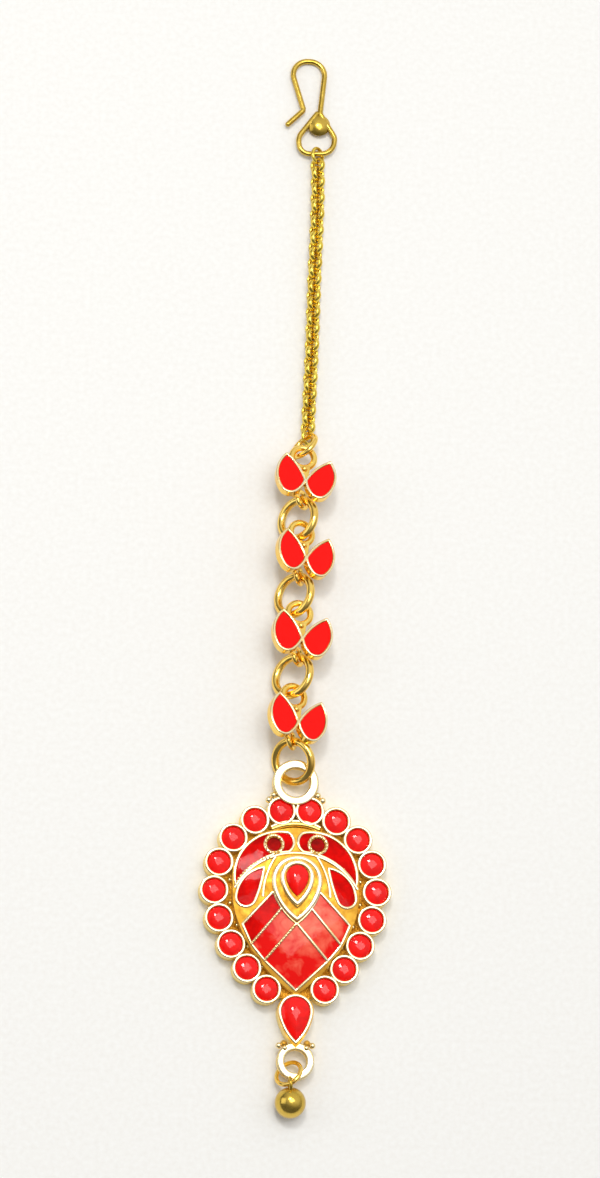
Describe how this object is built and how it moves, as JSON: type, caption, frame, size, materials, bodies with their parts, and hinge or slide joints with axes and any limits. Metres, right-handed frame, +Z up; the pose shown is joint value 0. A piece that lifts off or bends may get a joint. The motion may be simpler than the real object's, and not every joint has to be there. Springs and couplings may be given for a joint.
{
  "type": "maang tikka",
  "caption": "Forehead ornament: wire hook, fine chain, enamelled butterfly links on heavy rings, and a round pendant with a ring of enamelled cups and a ball drop.",
  "frame": {"origin": "on the surface the piece lies on, under the middle of its length and width", "axes": "+Y along the strand towards the hook, +Z up out of the enamelled face, +X to the wearer's left when the face is seen from the front"},
  "size_m": [0.024, 0.1384, 0.0064],
  "materials": {
    "gold_plate": "polished gold plating",
    "wire_gold": "bright drawn gold-plated wire",
    "red_enamel": "glossy cold enamel"
  },
  "bodies": {
    "root": {"pendant": "gold_plate", "butterfly_1": "gold_plate", "butterfly_2": "gold_plate", "butterfly_3": "gold_plate", "butterfly_4": "gold_plate", "connector_ring_1": "gold_plate", "connector_ring_2": "gold_plate", "connector_ring_3": "gold_plate", "connector_ring_4": "gold_plate", "chain_ring": "gold_plate", "drop_ring": "gold_plate", "ball_drop": "gold_plate", "hook": "wire_gold", "chain": "wire_gold", "cup_enamel_01": "red_enamel", "cup_enamel_02": "red_enamel", "cup_enamel_03": "red_enamel", "cup_enamel_04": "red_enamel", "cup_enamel_05": "red_enamel", "cup_enamel_06": "red_enamel", "cup_enamel_07": "red_enamel", "cup_enamel_08": "red_enamel", "cup_enamel_09": "red_enamel", "cup_enamel_10": "red_enamel", "cup_enamel_11": "red_enamel", "cup_enamel_12": "red_enamel", "cup_enamel_13": "red_enamel", "cup_enamel_14": "red_enamel", "cup_enamel_15": "red_enamel", "cup_enamel_16": "red_enamel", "cup_enamel_17": "red_enamel", "cup_enamel_18": "red_enamel", "crescent_enamel_left": "red_enamel", "crescent_enamel_right": "red_enamel", "eye_enamel_left": "red_enamel", "eye_enamel_right": "red_enamel", "petal_enamel_left": "red_enamel", "petal_enamel_right": "red_enamel", "upper_band_enamel_left": "red_enamel", "upper_band_enamel_right": "red_enamel", "lower_band_enamel_left": "red_enamel", "lower_band_enamel_right": "red_enamel", "diamond_enamel": "red_enamel", "drop_enamel": "red_enamel", "tail_enamel": "red_enamel", "wing_enamel_1_left": "red_enamel", "wing_enamel_1_right": "red_enamel", "wing_enamel_2_left": "red_enamel", "wing_enamel_2_right": "red_enamel", "wing_enamel_3_left": "red_enamel", "wing_enamel_3_right": "red_enamel", "wing_enamel_4_left": "red_enamel", "wing_enamel_4_right": "red_enamel"}
  },
  "joints": []
}
